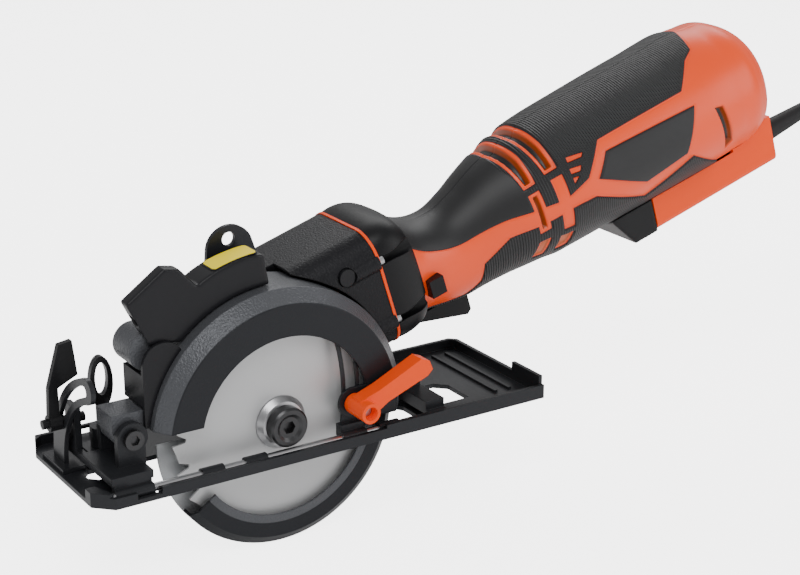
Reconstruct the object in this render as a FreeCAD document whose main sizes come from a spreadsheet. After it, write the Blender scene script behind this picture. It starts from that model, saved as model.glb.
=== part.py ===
"""Compact circular saw with an in-line motor barrel, as a parametric FreeCAD document.

Row frame, millimetres: X runs to the rear of the saw, Z is up, and -Y is the blade side.
The origin lies on the sole plane, below the motor axis, level with the blade arbor.
"""
import FreeCAD, Part
import math
import os
import re
import Sketcher
from FreeCAD import Placement, Rotation, Vector

doc = FreeCAD.newDocument("CircularSaw")
sheet = doc.addObject("Spreadsheet::Sheet", "Dims")
VALUES = {}
NODES = []


def dims(**pairs):
    """Put named driving dimensions in the sheet, one alias a row."""
    for alias, value in pairs.items():
        row = len(VALUES) + 1
        sheet.set("A%d" % row, alias)
        sheet.set("B%d" % row, str(value))
        sheet.setAlias("B%d" % row, alias)
        VALUES[alias] = float(value)


def val(text):
    """The value of an arithmetic expression over the sheet's aliases."""
    if not isinstance(text, str):
        return float(text)
    total = re.sub(r"[A-Za-z_]\w*", lambda m: repr(VALUES[m.group(0)]), text)
    return float(FreeCAD.Units.Quantity("(" + total.replace(" ", "") + ")").Value)


def bound(text):
    """The same expression, written for setExpression."""
    if not isinstance(text, str):
        return repr(float(text))
    return re.sub(r"[A-Za-z_]\w*", lambda m: "Dims." + m.group(0), text)


# ---------------------------------------------------------------- driving dimensions
dims(
    # blade, arbor and where the blade plane stands
    blade_y=-37, arbor_z=17, blade_radius=60, blade_thick=1.2, blade_bore=4.8,
    # barrel: tilt of the motor axis, its height over the arbor, its sections
    barrel_tilt=17.4, motor_rise=28,
    # sole plate
    sole_front=-107, sole_rear=155, sole_near=-53.4, sole_far=33.5, sole_floor=2.5, sole_rim=7.7,
    rim_wall=2.2,
    slot_front=-74, slot_rear=81, slot_near=-49, slot_far=-11,
    window_front=95, window_rear=118, window_near=-35, window_far=-9, window_corner=6,
    grip_hole_front=-97, grip_hole_rear=-82, grip_hole_near=-22.5, grip_hole_far=-9.5,
    guide_front=-86.5, guide_rear=-73.5,
    # depth pivot, its clamp and its quadrant
    pivot_x=-80.5, pivot_z=26.5, pivot_pin=3, clamp_x=38, clamp_z=21.5,
    quadrant_inner=113.5, quadrant_outer=123.5, quadrant_slot=3.1,
    # bevel rod and lock
    rod_y=-47.6, rod_z=4, rod_radius=2.1, knuckle_radius=3.2, lock_y=-1, lock_z=28, guide_y=-0.3,
    # upper guard
    guard_outer=71, guard_chamfer=64.5, guard_inner=47.9, guard_skin=1.6,
    guard_near=-9, guard_far=26, guard_bore=24.6, bump_bore=12.6,
    post_inner=54, post_outer=62, lever_near=27.8,
    # lower guard
    lower_outer=65.5, lower_inner=49, lower_near=-4.9, lower_far=7.2, lower_skin=1.2,
    hub_outer=32.5, hub_inner=27.68, nose_radius=27.6, nose_face=5.6,
    # gears
    idler_s=8, spur_radius=20.6, pinion_radius=7.9, gear_width=7,
    # cord
    cord_radius=3.5, coil_mean=40, coil_x=558, coil_y=41, coil_height=21, coil_width=21,
    floor_z=-48.5,
)

TILT = math.radians(val("barrel_tilt"))
AXIS = Vector(math.cos(TILT), 0, math.sin(TILT))
RISE = Vector(-math.sin(TILT), 0, math.cos(TILT))
ARBOR = Vector(0, 0, val("arbor_z"))
MOTOR = Placement(ARBOR + RISE * val("motor_rise"), Rotation(Vector(0, 1, 0), -val("barrel_tilt")))
TO_Y = Rotation(Vector(1, 0, 0), -90)
TO_X = Rotation(Vector(0, 1, 0), 90)
NO_TURN = Rotation()
BLADE_Y = val("blade_y")


# ---------------------------------------------------------------- building helpers
def new(kind, name):
    return doc.addObject(kind, name)


def box(name, x, y, z, place=None):
    """A Part::Box between three pairs of expressions."""
    item = new("Part::Box", name)
    for prop, axis, pair in (("Length", "x", x), ("Width", "y", y), ("Height", "z", z)):
        low, high = pair
        item.setExpression(prop, "(%s) - (%s)" % (bound(high), bound(low)))
    corner = Vector(val(x[0]), val(y[0]), val(z[0]))
    if place is None:
        item.Placement = Placement(corner, NO_TURN)
        for axis, pair in (("x", x), ("y", y), ("z", z)):
            item.setExpression("Placement.Base." + axis, bound(pair[0]))
    else:
        item.Placement = place * Placement(corner, NO_TURN)
    return item


def rod(name, radius, length, base, turn=NO_TURN, place=None):
    """A Part::Cylinder whose radius and length are expressions."""
    item = new("Part::Cylinder", name)
    item.setExpression("Radius", bound(radius))
    item.setExpression("Height", bound(length))
    spot = Vector(val(base[0]), val(base[1]), val(base[2]))
    if place is None:
        item.Placement = Placement(spot, turn)
        for axis, text in zip("xyz", base):
            item.setExpression("Placement.Base." + axis, bound(text))
    else:
        item.Placement = place * Placement(spot, turn)
    return item


def rod_at(name, radius, length, place):
    """A Part::Cylinder along the local Z of a given placement."""
    return rod(name, radius, length, ("0", "0", "0"), NO_TURN, place)


def cone(name, first, second, length, base, turn=NO_TURN, place=None):
    item = new("Part::Cone", name)
    item.setExpression("Radius1", bound(first))
    item.setExpression("Radius2", bound(second))
    item.setExpression("Height", bound(length))
    spot = Vector(val(base[0]), val(base[1]), val(base[2]))
    item.Placement = (place or Placement()) * Placement(spot, turn)
    return item


def fuse(name, *items):
    item = new("Part::MultiFuse", name)
    item.Shapes = list(items)
    return item


def cut(name, base, *tools):
    item = new("Part::Cut", name)
    item.Base = base
    item.Tool = tools[0] if len(tools) == 1 else fuse(name + "_tools", *tools)
    return item


def common(name, *items):
    item = new("Part::MultiCommon", name)
    item.Shapes = list(items)
    return item


def node(item, label):
    """Give a finished sub-part the label that names its file."""
    item.Label = label
    NODES.append(item)
    return item


def solid(name, shape):
    """A Part::Feature holding a shape worked out in code."""
    item = new("Part::Feature", name)
    item.Shape = shape
    return item


def plane_of(body, role):
    return [f for f in body.Origin.OriginFeatures if f.Role == role][0]


def sketch_on(body, name, role):
    item = body.newObject("Sketcher::SketchObject", name)
    item.AttachmentSupport = [(plane_of(body, role), "")]
    item.MapMode = "FlatFace"
    return item


def pin_point(sketch, index, which, u, v):
    """Tie one sketch point to the sheet through its distances from the origin."""
    for kind, text, axis in (("DistanceX", u, -2), ("DistanceY", v, -1)):
        if abs(val(text)) < 1e-9:
            sketch.addConstraint(Sketcher.Constraint("PointOnObject", index, which, axis))
            continue
        number = sketch.addConstraint(Sketcher.Constraint(kind, -1, 1, index, which, val(text)))
        sketch.setExpression("Constraints[%d]" % number, bound(text))


def outline(sketch, points):
    """A closed outline of straight sides through points given as expression pairs."""
    first = sketch.GeometryCount
    count = len(points)
    spots = [Vector(val(u), val(v), 0) for u, v in points]
    for i in range(count):
        sketch.addGeometry(Part.LineSegment(spots[i], spots[(i + 1) % count]))
    for i in range(count):
        sketch.addConstraint(Sketcher.Constraint("Coincident", first + i, 2, first + (i + 1) % count, 1))
    for i, (u, v) in enumerate(points):
        pin_point(sketch, first + i, 1, u, v)


def pad(body, sketch, name, length, back=False):
    item = body.newObject("PartDesign::Pad", name)
    item.Profile = sketch
    item.Reversed = back
    item.setExpression("Length", bound(length))
    return item


def through(body, sketch, name):
    """A pocket right through the body, both ways from its sketch."""
    item = body.newObject("PartDesign::Pocket", name)
    item.Profile = sketch
    item.Type = "ThroughAll"
    item.Midplane = True
    return item


def turned(name, points, start=0.0, sweep=360.0, place=None):
    """A body turned about the blade's axis; points are (radius, distance from the blade plane)."""
    body = new("PartDesign::Body", name)
    sketch = sketch_on(body, name + "_profile", "XY_Plane")
    outline(sketch, points)
    item = body.newObject("PartDesign::Revolution", name + "_turn")
    item.Profile = sketch
    item.ReferenceAxis = (sketch, ["V_Axis"])
    item.Angle = sweep
    spin = Placement(Vector(0, BLADE_Y, val("arbor_z")), Rotation(Vector(0, 1, 0), -start))
    body.Placement = place or spin
    return body


def at_blade(offset):
    """A Y place, as an expression, measured from the blade plane."""
    return "blade_y + (%s)" % offset


def on_barrel(s, y, z):
    """A point in the row frame from a place along, across and over the motor axis."""
    return MOTOR.multVec(Vector(s, y, z))


# ---------------------------------------------------------------- blade and spindle
def saw_blade():
    """Toothed disc: 24 carbide tips, each with a gullet in front of it."""
    teeth = 24
    rim = val("blade_radius")
    points = []
    for k in range(teeth):
        turn = 2 * math.pi * k / teeth
        for share, depth in ((0.0, 0.0), (0.30, 1.6), (0.62, 2.4), (0.80, 7.5), (0.93, 7.0)):
            angle = turn + share * 2 * math.pi / teeth
            points.append(Vector((rim - depth) * math.cos(angle), 0, (rim - depth) * math.sin(angle)))
    wire = Part.makePolygon(points + points[:1])
    thick = val("blade_thick")
    disc = Part.Face(wire).extrude(Vector(0, thick, 0))
    disc.translate(Vector(0, -thick / 2, 0))
    bore = Part.makeCylinder(val("blade_bore"), 4, Vector(0, -2, 0), Vector(0, 1, 0))
    disc = disc.cut(bore)
    item = solid("SawBlade", disc)
    item.Placement = Placement(Vector(0, BLADE_Y, val("arbor_z")), NO_TURN)
    return node(item, "saw_blade")


def spindle_parts():
    spindle = turned("Spindle", [("0", "-2.2"), ("blade_bore - 0.05", "-2.2"), ("blade_bore - 0.05", "0.7"),
                                 ("6", "0.7"), ("6", "30.5"), ("0", "30.5")])
    hole = rod("SpindleThread", "2.95", "14", ("0", at_blade(-3), "arbor_z"), TO_Y)
    node(cut("SpindleBored", spindle, hole), "spindle")
    inner = turned("InnerFlange", [("6.05", "0.7"), ("13", "0.7"), ("13", "2.2"), ("9", "4.6"), ("6.05", "4.6")])
    node(inner, "inner_flange")
    outer = turned("OuterFlange", [("blade_bore + 0.1", "-0.7"), ("14", "-0.7"), ("14", "-1.6"), ("11.6", "-4.4"),
                                   ("9", "-5"), ("3.2", "-5"), ("3.2", "-2.4"), ("blade_bore + 0.1", "-2.4")])
    node(outer, "outer_flange")
    bolt = turned("BladeBolt", [("0", "-11.3"), ("9.4", "-11.3"), ("10.4", "-10.3"), ("10.4", "-5.1"), ("2.9", "-5.1"),
                                ("2.9", "9"), ("0", "9")])
    socket = new("Part::Prism", "BoltSocket")
    socket.Polygon = 6
    socket.Circumradius = 3.46
    socket.Height = 4.5
    socket.Placement = Placement(Vector(0, BLADE_Y - 11.5, val("arbor_z")), TO_Y)
    dish = cone("BoltDish", "7.4", "5.6", "1.2", ("0", at_blade(-11.35), "arbor_z"), TO_Y)
    node(cut("BoltSocketed", bolt, socket, dish), "blade_bolt")


def spur_shape(radius, teeth, width, bore, phase):
    """A spur gear about +Z with straight-sided teeth and running backlash."""
    pitch = math.pi * radius / teeth
    module = 2 * radius / teeth
    points = []
    for k in range(teeth):
        mid = 2 * math.pi * (k + phase) / teeth
        for place, share in ((radius - 1.15 * module, -0.36), (radius, -0.22), (radius + 0.85 * module, -0.10),
                             (radius + 0.85 * module, 0.10), (radius, 0.22), (radius - 1.15 * module, 0.36)):
            angle = mid + share * 2 * pitch / radius
            points.append(Vector(place * math.cos(angle), place * math.sin(angle), 0))
    gear = Part.Face(Part.makePolygon(points + points[:1])).extrude(Vector(0, 0, width))
    return gear.cut(Part.makeCylinder(bore, width, Vector(), Vector(0, 0, 1)))


def idler_place(offset, turn=TO_Y):
    """A placement on the idler's axis, offset from the blade plane."""
    spot = ARBOR + AXIS * val("idler_s") + RISE * val("motor_rise")
    return Placement(Vector(spot.x, BLADE_Y + offset, spot.z), turn)


def gear_train():
    """Output gear on the spindle, idler shaft with its spur pinion, and its bevel gear."""
    idler = idler_place(0).Base
    line = math.degrees(math.atan2(idler.z - ARBOR.z, idler.x - ARBOR.x))
    big_teeth, small_teeth = 36, 14
    big = solid("OutputGear", spur_shape(val("spur_radius"), big_teeth, val("gear_width"), 6.05, 0))
    big.Placement = Placement(Vector(0, BLADE_Y + 14, ARBOR.z), Rotation(Vector(0, 1, 0), -line) * TO_Y)
    node(big, "output_gear")
    shaft = rod_at("IdlerShaft", "4", "42.6", idler_place(13.6))
    small = solid("IdlerPinion", spur_shape(val("pinion_radius"), small_teeth, val("gear_width"), 3.5, 0.5))
    small.Placement = idler_place(14, Rotation(Vector(0, 1, 0), 180 - line) * TO_Y)
    node(fuse("IdlerPair", shaft, small), "idler_shaft")
    crown = cone("CrownGear", "13", "17.5", "6", ("0", "0", "0"), NO_TURN, idler_place(43.4))
    crown_bore = rod_at("CrownBore", "4", "9", idler_place(42))
    node(cut("CrownBored", crown, crown_bore), "bevel_gear")


def rotor_parts():
    """Everything that turns on the motor axis."""
    shaft = rod("MotorShaft", "4", "195", ("27.5", "0", "0"), TO_X, MOTOR)
    core = rod("MotorCore", "20", "48", ("212", "0", "0"), TO_X, MOTOR)
    winding = rod("MotorWinding", "16.5", "71", ("200", "0", "0"), TO_X, MOTOR)
    node(fuse("Armature", shaft, core, winding), "armature")
    drum = rod("CommutatorDrum", "11", "15", ("280", "0", "0"), TO_X, MOTOR)
    shaft_end = rod("ShaftEnd", "3.6", "46", ("271", "0", "0"), TO_X, MOTOR)
    node(fuse("CommutatorPair", drum, shaft_end), "commutator")
    disc = rod("FanDisc", "27.5", "2", ("187.5", "0", "0"), TO_X, MOTOR)
    hub = rod("FanHub", "8", "11", ("187.5", "0", "0"), TO_X, MOTOR)
    vanes = []
    for k in range(12):
        lean = Placement(Vector(), Rotation(Vector(1, 0, 0), 30.0 * k))
        vanes.append(box("FanVane%d" % k, ("189", "198"), ("-0.7", "0.7"), ("7", "27"), MOTOR * lean))
    bore = rod("FanBore", "4", "14", ("186", "0", "0"), TO_X, MOTOR)
    node(cut("FanBored", fuse("FanBody", disc, hub, *vanes), bore), "cooling_fan")
    node(cone("PinionCone", "5.2", "6.8", "8", ("19.4", "0", "0"), TO_X, MOTOR), "motor_pinion")


# ---------------------------------------------------------------- guards
def upper_guard():
    """Cast channel over the blade's top half, with its foot, pivot knuckle, clamp lug and dust port."""
    inner_edge = "guard_outer - 3.5"
    shell = turned("GuardChannel", [
        ("guard_inner", "guard_near"), ("guard_chamfer", "guard_near"), ("guard_outer", "-1"),
        ("guard_outer", "guard_far"), ("guard_bore", "guard_far"), ("guard_bore", "guard_far - 1.9"),
        (inner_edge, "guard_far - 1.9"), (inner_edge, "-2.5"), ("guard_chamfer - 0.5", "guard_near + guard_skin"),
        ("guard_inner", "guard_near + guard_skin")], start=171, sweep=184)
    low_rear = box("GuardTrimRear", ("0", "90"), (at_blade(-20), at_blade(40)), ("-40", "10.8"))
    low_front = box("GuardTrimFront", ("-90", "0"), (at_blade(-20), at_blade(40)), ("-40", "27.5"))
    lug = rod("ClampLug", "8.2", "guard_skin", ("clamp_x", at_blade("guard_near"), "clamp_z"), TO_Y)
    web = box("ClampWeb", ("clamp_x", "52"), (at_blade("guard_near"), at_blade("guard_near + guard_skin")),
              ("clamp_z - 8.2", "clamp_z + 8.2"))
    lug_hole = rod("ClampHole", "2.6", "8", ("clamp_x", at_blade(-12), "clamp_z"), TO_Y)
    foot = box("Foot", ("-89", "-66"), (at_blade(5), at_blade(22.5)), ("28.5", "38"))
    knuckle = rod("Knuckle", "7", "18.1", ("pivot_x", at_blade(4.4), "pivot_z"), TO_Y)
    port = rod("DustPort", "10", "19.2", ("-66.5", at_blade(8), "66"), TO_Y)
    port_web = box("DustWeb", ("-68", "-54"), (at_blade(8), at_blade(26)), ("50", "66"))
    seat = rod("GuardSeat", "guard_outer - 1", "60", ("0", at_blade(-20), "arbor_z"), TO_Y)
    port_bore = rod("DustBore", "8.5", "19", ("-66.5", at_blade(12), "66"), TO_Y)
    pin_hole = rod("KnuckleHole", "pivot_pin + 0.05", "40", ("pivot_x", at_blade(-3), "pivot_z"), TO_Y)
    outside = cut("GuardOutside", fuse("GuardExtras", foot, knuckle, port, port_web), seat)
    body = fuse("GuardBody", cut("GuardTrimmed", shell, low_rear, low_front), outside, lug, web)
    screw_room = rod("GuardScrewRoom", "2.3", "30", ("60", "-28.2", "-14.5"), TO_X, MOTOR)
    path = turned("LeverSlot", [("post_inner - 0.8", "18"), ("post_outer + 0.8", "18"), ("post_outer + 0.8", "28"),
                                ("post_inner - 0.8", "28")], start=176, sweep=86)
    bump = rod_at("GuardBump", "bump_bore", "30", idler_place(12))
    node(cut("UpperGuard", body, port_bore, pin_hole, lug_hole, path, bump, screw_room), "upper_guard")


def dust_chute():
    """Smooth front piece that carries chips up from the cut to the dust port."""
    side = box("ChuteSide", ("-72.5", "-50"), (at_blade(4), at_blade(25)), ("39", "56"))
    face = box("ChuteFace", ("-72.5", "-50"), (at_blade(2.2), at_blade(4.4)), ("29", "60"))
    crown = rod("ChuteCrown", "11.2", "2.2", ("-61.3", at_blade(2.2), "60"), TO_Y)
    round_guard = rod("ChuteSeat", "guard_outer + 0.15", "60", ("0", at_blade(-20), "arbor_z"), TO_Y)
    clear_port = rod("ChutePort", "10.2", "30", ("-66.5", at_blade(5), "66"), TO_Y)
    clear_web = box("ChuteWeb", ("-68.2", "-50"), (at_blade(7.8), at_blade(30)), ("49.8", "70"))
    node(cut("DustChute", fuse("ChuteBody", side, face, crown), round_guard, clear_port, clear_web), "dust_chute")


def lower_guard():
    """Swinging guard: rim, narrow near wall, full far wall, and the ring that turns on the gear nose."""
    shell = turned("LowerShell", [
        ("lower_inner", "lower_near"), ("lower_outer - 4.5", "lower_near"), ("lower_outer", "-1.5"),
        ("lower_outer", "lower_far"), ("lower_outer - 3", "lower_far"), ("lower_outer - 3", "lower_far - lower_skin"),
        ("lower_outer - 1.6", "lower_far - lower_skin"), ("lower_outer - 1.6", "-1.2"),
        ("lower_outer - 5", "lower_near + lower_skin"), ("lower_inner", "lower_near + lower_skin")],
        start=22, sweep=166)
    wall = turned("LowerWall", [("hub_inner + 1", "lower_far - lower_skin"), ("lower_outer", "lower_far - lower_skin"),
                                ("lower_outer", "lower_far"), ("hub_inner + 1", "lower_far")], start=22, sweep=202)
    ring = turned("LowerRing", [("hub_inner", "lower_far - lower_skin"), ("hub_outer", "lower_far - lower_skin"),
                                ("hub_outer", "lower_far + 1.4"), ("hub_inner", "lower_far + 1.4")])
    spoke = turned("LowerSpoke", [("hub_inner + 1", "lower_far - lower_skin"), ("post_outer", "lower_far - lower_skin"),
                                  ("post_outer", "lower_far"), ("hub_inner + 1", "lower_far")], start=103, sweep=12)
    post = turned("LowerPost", [("post_inner", "lower_far - lower_skin"), ("post_outer", "lower_far - lower_skin"),
                                ("post_outer", "lever_near"), ("post_inner", "lever_near")], start=100.5, sweep=7)
    node(fuse("LowerGuardPair", shell, wall, ring, spoke, post), "lower_guard")


def lift_lever():
    """Flat tab with a finger hole, fixed on the lower guard's post behind the upper guard."""
    lean = math.radians(97.0)

    def spot(radius, degrees):
        angle = lean + math.radians(degrees)
        return Vector(radius * math.cos(angle), 0, radius * math.sin(angle))
    left = [spot(53, -5), spot(68, -8), spot(82, -10), spot(90, -8)]
    right = [spot(90, 8), spot(82, 10), spot(68, 8), spot(53, 5)]
    edges = [Part.makeLine(a, b) for a, b in zip(left, left[1:])]
    edges.append(Part.Arc(left[-1], spot(98.5, 0), right[0]).toShape())
    edges += [Part.makeLine(a, b) for a, b in zip(right, right[1:])]
    edges.append(Part.makeLine(right[-1], left[0]))
    plate = Part.Face(Part.Wire(edges)).extrude(Vector(0, 2.6, 0))
    hole = spot(91.5, 0)
    plate = plate.cut(Part.makeCylinder(3.6, 6, hole - Vector(0, 2, 0), Vector(0, 1, 0)))
    lever = solid("GuardLever", plate)
    lever.Placement = Placement(Vector(0, BLADE_Y + val("lever_near"), ARBOR.z), NO_TURN)
    node(lever, "guard_lever")


def retainer_spot(k):
    """Place of one of the three screws that hold the retainer plate on the gear nose."""
    angle = math.radians(30 + 120 * k)
    return Placement(Vector(22 * math.cos(angle), BLADE_Y + 3.9, 22 * math.sin(angle) + ARBOR.z), TO_Y)


def guard_return():
    """Return spring round the gear nose, as two closed turns, and the plate that keeps the lower guard on it."""
    turns = []
    for k in range(2):
        turn = new("Part::Torus", "SpringTurn%d" % k)
        turn.setExpression("Radius1", bound("hub_inner + 3.3"))
        turn.Radius2 = 0.6
        turn.Placement = Placement(Vector(0, BLADE_Y + 9.9 + 1.5 * k, ARBOR.z), TO_Y)
        turns.append(turn)
    node(fuse("GuardSpring", *turns), "guard_spring")
    plate = turned("RetainerPlate", [("16", "4.8"), ("29.6", "4.8"), ("29.6", "nose_face"), ("16", "nose_face")])
    heads = []
    for k in range(3):
        heads.append(rod_at("RetainerHead%d" % k, "2.6", "1.2", retainer_spot(k)))
        heads.append(rod_at("RetainerShank%d" % k, "1.5", "4", retainer_spot(k)))
    node(fuse("Retainer", plate, *heads), "guard_retainer")
    bolts = []
    for k, degrees in enumerate((12, 42, 140, 168)):
        angle = math.radians(degrees)
        spot = Vector(29.5 * math.cos(angle), BLADE_Y + 22.1, 29.5 * math.sin(angle) + ARBOR.z)
        bolts.append(rod_at("GuardBolt%d" % k, "2.9", "1.8", Placement(spot, TO_Y)))
    node(fuse("GuardScrews", *bolts), "guard_screws")


# ---------------------------------------------------------------- laser
def laser():
    """Laser housing on the guard's shoulder, with its module and lens."""
    low, nose, shelf, near = "guard_outer + 0.4", 8.4, 17.0, 5.0
    centre = ARBOR

    def spot(radius, degrees):
        angle = math.radians(degrees)
        return Vector(radius * math.cos(angle), 0, radius * math.sin(angle)) + centre
    rim = val(low)
    tall = [Vector(-66.8, 0, 69.6), Vector(-78, 0, 92.6), Vector(-57.5, 0, 107), Vector(-49.5, 0, 105.5),
            Vector(-40.5, 0, 95.5)]
    nose_wire = Part.makePolygon(tall + [spot(rim, 122), spot(rim, 134), tall[0]])
    nose_solid = Part.Face(nose_wire).extrude(Vector(0, nose, 0))
    upper = Part.Arc(spot(88, 118), spot(89, 105), spot(88, 92.5)).toShape()
    lower = Part.Arc(spot(rim, 90.5), spot(rim, 105), spot(rim, 128)).toShape()
    ends = [Part.makeLine(spot(88, 92.5), spot(rim, 90.5)), Part.makeLine(spot(rim, 128), spot(88, 118))]
    shelf_solid = Part.Face(Part.Wire([upper, ends[0], lower, ends[1]])).extrude(Vector(0, shelf, 0))
    body = nose_solid.fuse(shelf_solid).removeSplitter()
    clear = Part.makeCylinder(rim, 60, centre - Vector(0, 10, 0), Vector(0, 1, 0))
    body = body.cut(clear)
    # the module lies along the beam's line, in a bore that opens at the front face
    front = Vector(-73.6, nose / 2, 82)
    inward = Vector(0.92, 0, 0.39)
    inward.normalize()
    body = body.cut(Part.makeCylinder(3.05, 27, front - inward * 3, inward))
    # it steps back round the dust port's tube
    body = body.cut(Part.makeCylinder(10.3, 40, Vector(-66.5, 2.7, 66), Vector(0, 1, 0)))
    housing = solid("LaserHousing", body)
    housing.Placement = Placement(Vector(0, BLADE_Y + near, 0), NO_TURN)
    node(housing, "laser_housing")
    turn = Rotation(Vector(0, 0, 1), inward)
    base = Vector(front.x, BLADE_Y + near + nose / 2, front.z)
    module = rod_at("LaserBarrel", "3", "18", Placement(base + inward * 3.4, turn))
    lens_seat = rod_at("LensSeat", "2.1", "1.5", Placement(base + inward * 3.4, turn))
    node(cut("LaserModule", module, lens_seat), "laser_module")
    lens = rod_at("LaserLens", "2", "1.3", Placement(base + inward * 3.5, turn))
    node(lens, "laser_lens")


# ---------------------------------------------------------------- housings along the barrel
def section(s, top, bottom, half_width, power, inset=0.0):
    """A closed rounded section across the motor axis, as one smooth wire."""
    mid = (top - bottom) / 2.0
    tall = (top + bottom) / 2.0 - inset
    wide = half_width - inset
    points = []
    steps = 24
    for k in range(steps):
        angle = 2 * math.pi * (k + 0.5) / steps
        c, q = math.cos(angle), math.sin(angle)
        across = math.copysign(abs(c) ** (2.0 / power), c) * wide
        over = math.copysign(abs(q) ** (2.0 / power), q) * tall + mid
        points.append(Vector(s, across, over))
    curve = Part.BSplineCurve()
    curve.interpolate(points, PeriodicFlag=True)
    return Part.Wire(curve.toShape())


HANDLE = (
    # along, top and bottom distance from the motor axis, half width, squareness
    (105, 29.5, 31.0, 27.5, 2.6), (112, 23.5, 33.0, 25.5, 2.5), (122, 18.2, 35.5, 24.5, 2.5),
    (134, 16.8, 38.0, 24.0, 2.4), (149, 21.0, 38.2, 25.5, 2.3), (163, 27.0, 38.6, 29.0, 2.2),
    (178, 32.0, 39.6, 34.0, 2.1), (192, 35.4, 40.4, 37.0, 2.1), (206, 37.8, 41.0, 38.8, 2.0),
    (240, 39.6, 41.2, 40.0, 2.0), (285, 41.0, 41.4, 41.0, 2.0), (326, 41.2, 41.4, 41.0, 2.0),
    (342, 37.4, 39.5, 38.2, 2.1), (353, 27.0, 33.0, 29.5, 2.2), (358, 17.0, 26.0, 20.0, 2.2),
)


def sleeve(first, last, inset):
    """The handle's form from one station to another, moved in by inset."""
    rows = [r for r in HANDLE if first <= r[0] <= last]
    wires = [section(*row, inset=inset) for row in rows]
    return Part.makeLoft(wires, True)


HOUSING_SCREWS = ((120, 11), (160, -29), (277, 33), (277, -33), (336, 0))


def half_width_at(along, up):
    """Half width of the handle at a station and a height over the motor axis."""
    row = min(HANDLE, key=lambda r: abs(r[0] - along))
    middle = (row[1] - row[2]) / 2.0
    tall = (row[1] + row[2]) / 2.0
    share = min(abs(up - middle) / tall, 0.98)
    return row[3] * (1 - share ** row[4]) ** (1.0 / row[4])


def housings():
    skin, wall = 1.5, 3.0
    outer = sleeve(105, 358, skin)
    inner = sleeve(112, 342, skin + wall)
    shell = outer.cut(inner)
    ribs = [Part.makeBox(long, 120, 120, Vector(s, -60, -60)).common(outer).cut(
        Part.makeCylinder(bore, 20, Vector(s - 5, 0, 0), Vector(1, 0, 0)))
        for s, long, bore in ((224, 4, 30.02), (246, 4, 30.02), (300.2, 6.6, 9.52))]
    bosses = [Part.makeCylinder(4, 120, Vector(s, -60, up), Vector(0, 1, 0)).common(outer)
              for s, up in HOUSING_SCREWS]
    shell = shell.fuse(ribs + bosses)
    shell = shell.cut(Part.makeCylinder(10, 20, Vector(95, 0, 0), Vector(1, 0, 0)))
    bolts = []
    for k, (s, up) in enumerate(HOUSING_SCREWS):
        wide = half_width_at(s, up) - 7.5
        hole = Part.makeCylinder(1.55, wide + 12, Vector(s, -12, up), Vector(0, 1, 0))
        well = Part.makeCylinder(3.3, 30, Vector(s, wide, up), Vector(0, 1, 0))
        shell = shell.cut(hole.fuse(well))
        bolts.append(rod("HousingShank%d" % k, "1.5", repr(wide + 8), (str(s), "-8", str(up)), TO_Y, MOTOR))
        bolts.append(rod("HousingHead%d" % k, "2.9", "2.4", (str(s), repr(wide), str(up)), TO_Y, MOTOR))
    node(fuse("HousingScrews", *bolts), "housing_screws")
    trigger_gap = Part.makeBox(34.2, 21.6, 38, Vector(105, -10.8, -60.5))
    button_gap = Part.makeBox(9.8, 70, 10.8, Vector(107.1, -35, -16.4))
    cord_gap = Part.makeCylinder(7.1, 24, Vector(346, -2, -46.5), Vector(1, 0, 0))
    shell = shell.cut(trigger_gap.fuse([button_gap, cord_gap]))
    near = shell.common(Part.makeBox(300, 60, 160, Vector(90, -60.05, -80))).cut(trigger_gap)
    far = shell.common(Part.makeBox(300, 60, 160, Vector(90, 0.05, -80))).cut(trigger_gap)
    for name, part in (("housing_left", near), ("housing_right", far)):
        item = solid(name.title().replace("_", ""), part)
        item.Placement = MOTOR
        node(item, name)
    layer = sleeve(192, 326, 0.0).cut(sleeve(178, 342, skin - 0.1))
    for s, up in HOUSING_SCREWS:
        layer = layer.cut(Part.makeCylinder(3.3, 60, Vector(s, 5, up), Vector(0, 1, 0)))
    for name, low in (("grip_left", -60.05), ("grip_right", 0.05)):
        item = solid(name.title().replace("_", ""), layer.common(Part.makeBox(300, 60, 160, Vector(90, low, -80))))
        item.Placement = MOTOR
        node(item, name)
    # box under the barrel's rear end, where the cord comes in, and its foot
    seat = sleeve(178, 358, skin - 0.02).fuse(sleeve(192, 326, -0.02))
    cord_box = Part.makeBox(94, 44, 30, Vector(263, -22, -56))
    cord_box = cord_box.makeFillet(5, [e for e in cord_box.Edges if abs(e.tangentAt(0).x) > 0.9
                                       and e.CenterOfMass.z < -50])
    hollow = Part.makeBox(84, 38, 40, Vector(266, -19, -53))
    cord_hole = Part.makeCylinder(6.45, 20, Vector(345, -2, -46.5), Vector(1, 0, 0))
    clamp_seat = Part.makeBox(9, 6, 3, Vector(335, 10, -54))
    item = solid("CordBox", cord_box.cut(seat).cut(hollow.cut(clamp_seat)).cut(cord_hole))
    item.Placement = MOTOR
    node(item, "cord_box")
    nose = Part.Face(Part.makePolygon([Vector(232, 0, -34), Vector(246, 0, -56), Vector(262.9, 0, -56),
                                       Vector(262.9, 0, -26), Vector(232, 0, -34)]))
    foot = nose.extrude(Vector(0, 44, 0))
    foot.translate(Vector(0, -22, 0))
    item = solid("BoxFoot", foot.cut(seat))
    item.Placement = MOTOR
    node(item, "box_foot")
    # square flange that joins the handle to the gear case
    collar = Part.makeLoft([section(82, 36.0, 31.0, 31.0, 4.5), section(96, 36.2, 31.4, 31.0, 4.2),
                            section(101, 34.0, 31.0, 29.5, 3.8), section(104.8, 30.0, 30.6, 27.5, 3.2)], True)
    collar = collar.cut(Part.makeCylinder(20, 40, Vector(76, 0, 0), Vector(1, 0, 0)))
    for across, over in CASE_SCREWS:
        collar = collar.cut(Part.makeCylinder(3.7, 40, Vector(80, across, over), Vector(1, 0, 0)))
    item = solid("MotorCollar", collar)
    item.Placement = MOTOR
    node(item, "motor_collar")


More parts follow.
